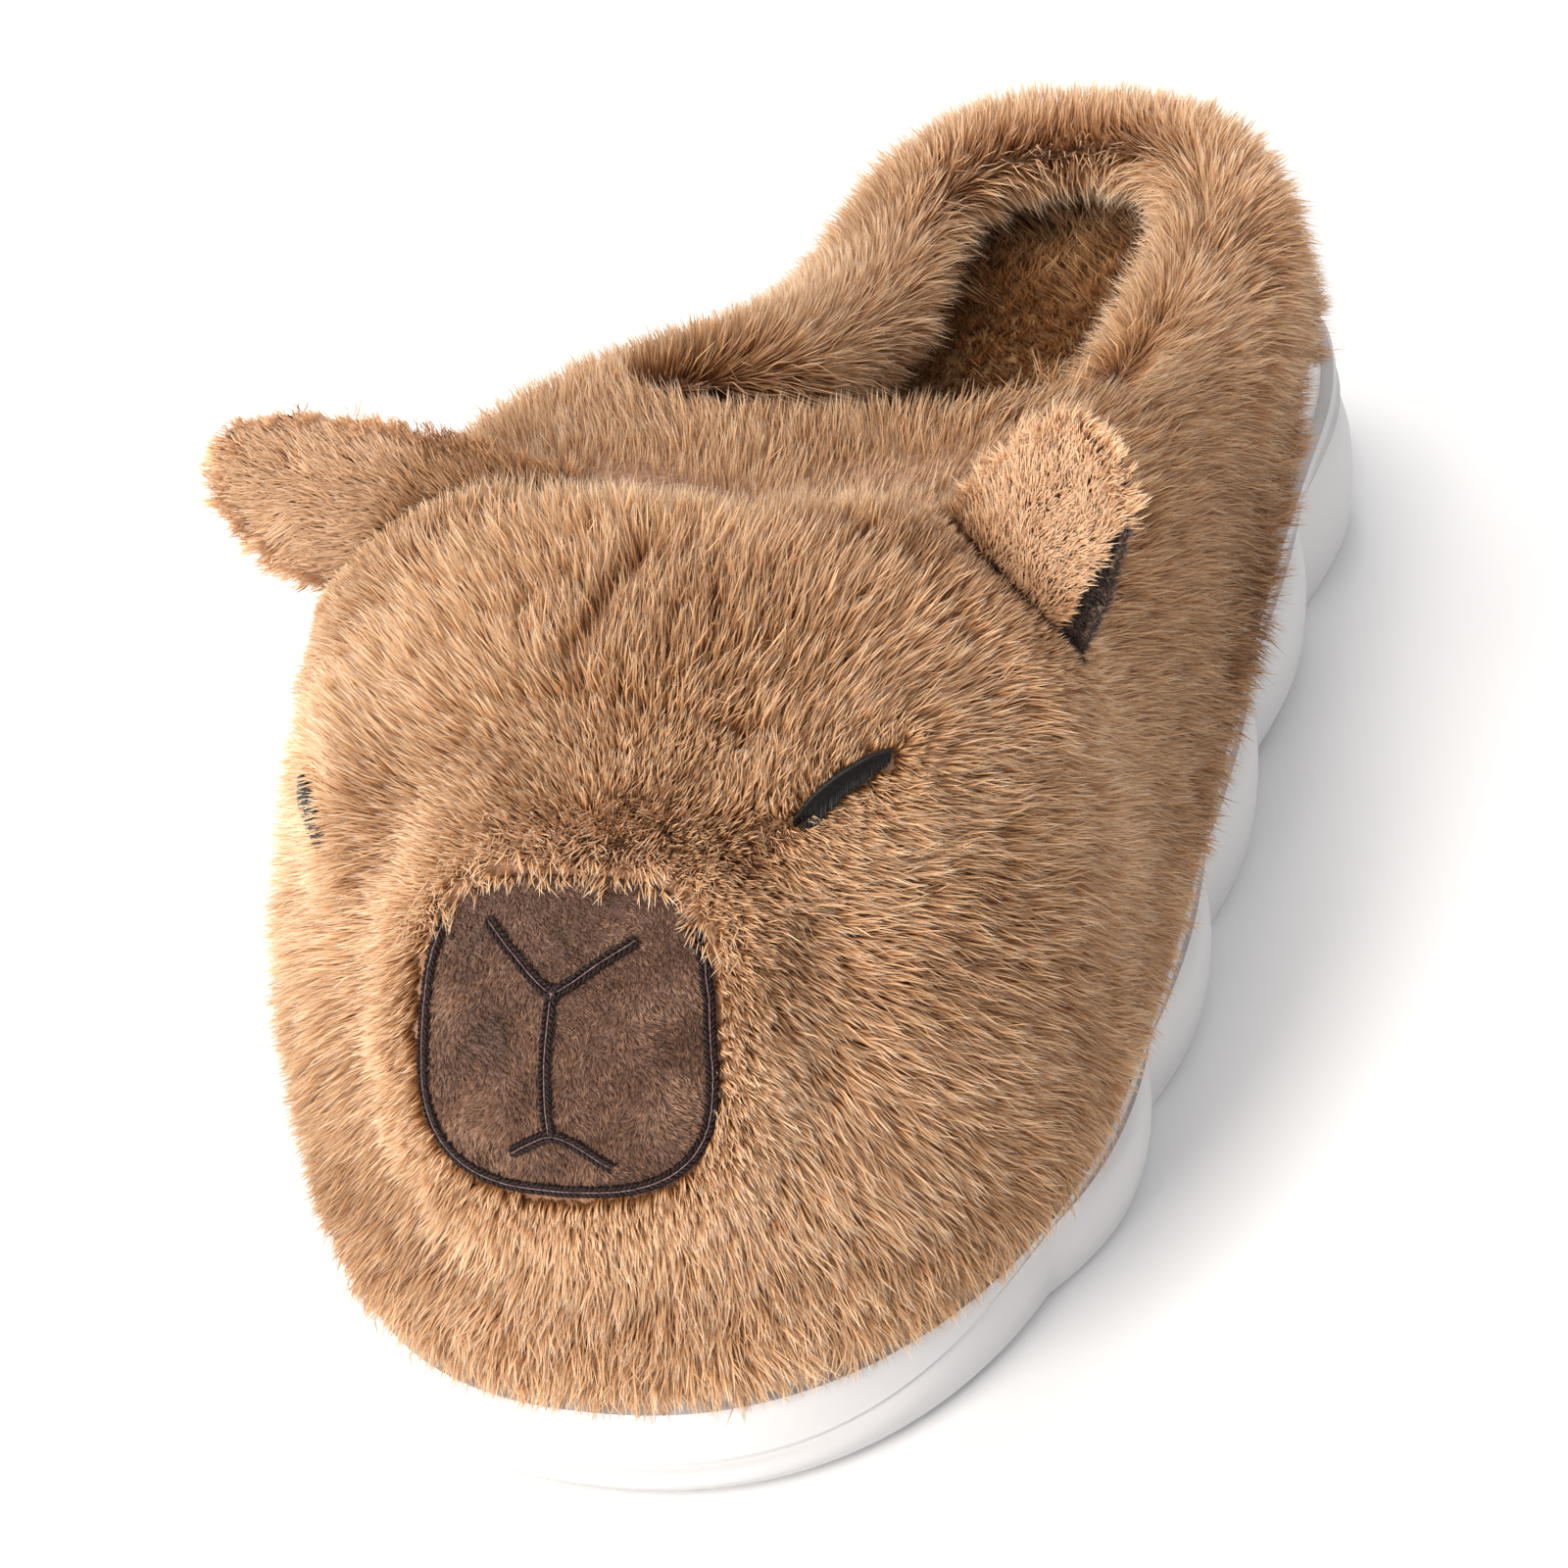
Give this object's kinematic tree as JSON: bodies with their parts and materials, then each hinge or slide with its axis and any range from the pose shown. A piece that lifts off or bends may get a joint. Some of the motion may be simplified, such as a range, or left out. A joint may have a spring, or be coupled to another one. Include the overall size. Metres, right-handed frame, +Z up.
{
  "type": "animal slipper",
  "caption": "Closed-toe plush slipper with a low open heel, shaped as a dozing animal's head with two ears, on a scalloped foam sole.",
  "frame": {"origin": "on the flat underside of the sole, half way along its length and on its centre line, where the slipper stands on the floor", "axes": "+Z up, -Y towards the toe, +Y towards the heel, +X towards the wearer's left, which is the outer side of this left slipper"},
  "size_m": [0.1249, 0.2761, 0.1101],
  "materials": {
    "sole_foam": "moulded EVA foam, satin matt",
    "upper_plush": "long-pile plush",
    "insole_plush": "short-pile plush",
    "nose_velvet": "short velvet",
    "eye_thread": "satin-stitched thread",
    "ear_plush": "plush with a short velvet back"
  },
  "bodies": {
    "root": {"sole": "sole_foam", "upper": "upper_plush", "insole": "insole_plush", "nose_patch": "nose_velvet", "eye_lateral": "eye_thread", "eye_medial": "eye_thread", "ear_lateral": "ear_plush", "ear_medial": "ear_plush"}
  },
  "joints": []
}
